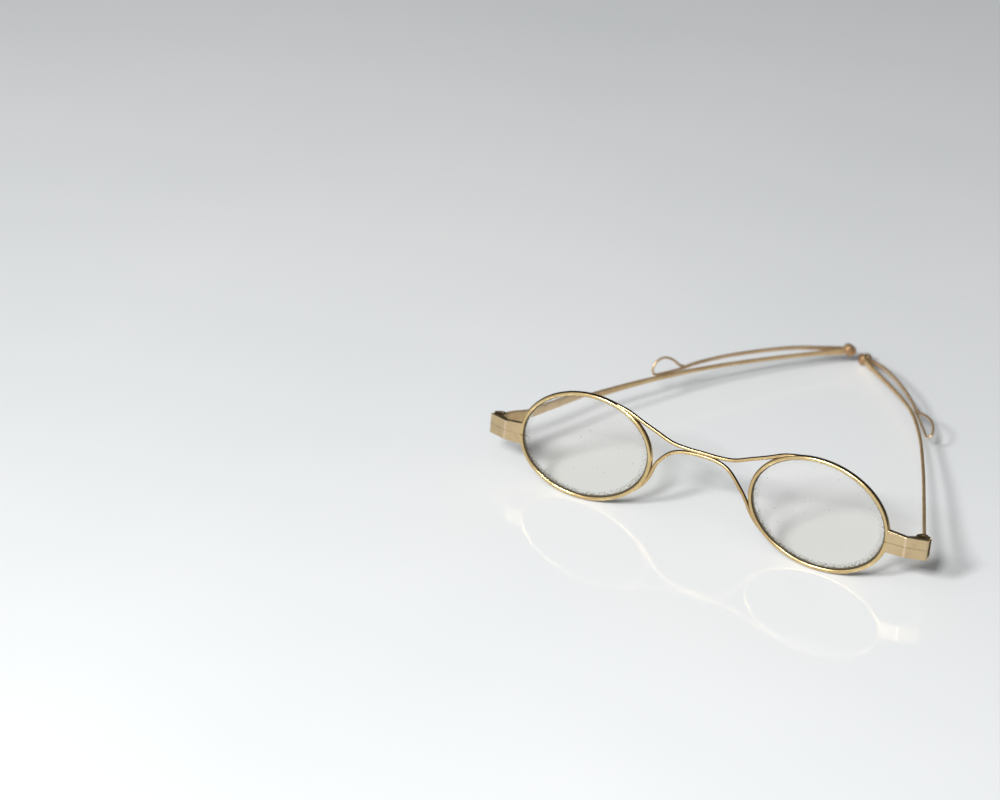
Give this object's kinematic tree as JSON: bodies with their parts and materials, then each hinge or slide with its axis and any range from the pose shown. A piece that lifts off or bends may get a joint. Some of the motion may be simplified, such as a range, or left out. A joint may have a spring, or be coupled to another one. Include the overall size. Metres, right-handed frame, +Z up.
{
  "type": "wire eyeglasses",
  "caption": "antique wire spectacles with oval lenses, a forked wire bridge, split end pieces and bowed temples with turn pins and looped rear sections",
  "frame": {"origin": "middle of the footprint, on the table the spectacles rest on", "axes": "+Z up, +Y from the front towards the rear ends of the temples, +X to the wearer's left"},
  "size_m": [0.119, 0.0998, 0.0289],
  "materials": {
    "gold": "worn polished gold-filled brass wire and strip, warm pale gold with darker brown in the recesses",
    "screw_metal": "darkened brass, dull and slightly brown",
    "lens": "clear polished glass with a little grime at the edge"
  },
  "bodies": {
    "front": {"eyewire_left": "gold", "lens_left": "lens", "endpiece_upper_left": "gold", "endpiece_lower_left": "gold", "hinge_screw_left": "screw_metal", "eyewire_right": "gold", "lens_right": "lens", "endpiece_upper_right": "gold", "endpiece_lower_right": "gold", "hinge_screw_right": "screw_metal", "bridge_upper_wire": "gold", "bridge_lower_wire": "gold"},
    "temple_left": {"temple_left": "gold", "turn_pin_left": "gold", "pin_spacer_left": "screw_metal", "pin_washer_left": "screw_metal"},
    "temple_right": {"temple_right": "gold", "turn_pin_right": "gold", "pin_spacer_right": "screw_metal", "pin_washer_right": "screw_metal"},
    "rear_left": {"rear_section_left": "gold"},
    "rear_right": {"rear_section_right": "gold"}
  },
  "joints": [
    {"name": "left_temple_hinge", "type": "hinge", "parent": "front", "child": "temple_left", "pos_m": [-0.0574, -0.04442, 0.01201], "axis": [-0.0791, 0.1303, 0.9883], "range_deg": [-55, 34]},
    {"name": "right_temple_hinge", "type": "hinge", "parent": "front", "child": "temple_right", "pos_m": [0.0574, -0.04442, 0.01201], "axis": [-0.0597, 0.078, 0.9952], "range_deg": [-31, 59.5]},
    {"name": "left_turn_pin", "type": "hinge", "parent": "temple_left", "child": "rear_left", "pos_m": [0.0009, 0.04502, 0.00489], "axis": [-0.6846, 0.7136, -0.1488], "range_deg": [0, 180]},
    {"name": "right_turn_pin", "type": "hinge", "parent": "temple_right", "child": "rear_right", "pos_m": [0.00383, 0.04762, 0.00159], "axis": [-0.7054, -0.7086, 0.0132], "range_deg": [0, 180]}
  ]
}
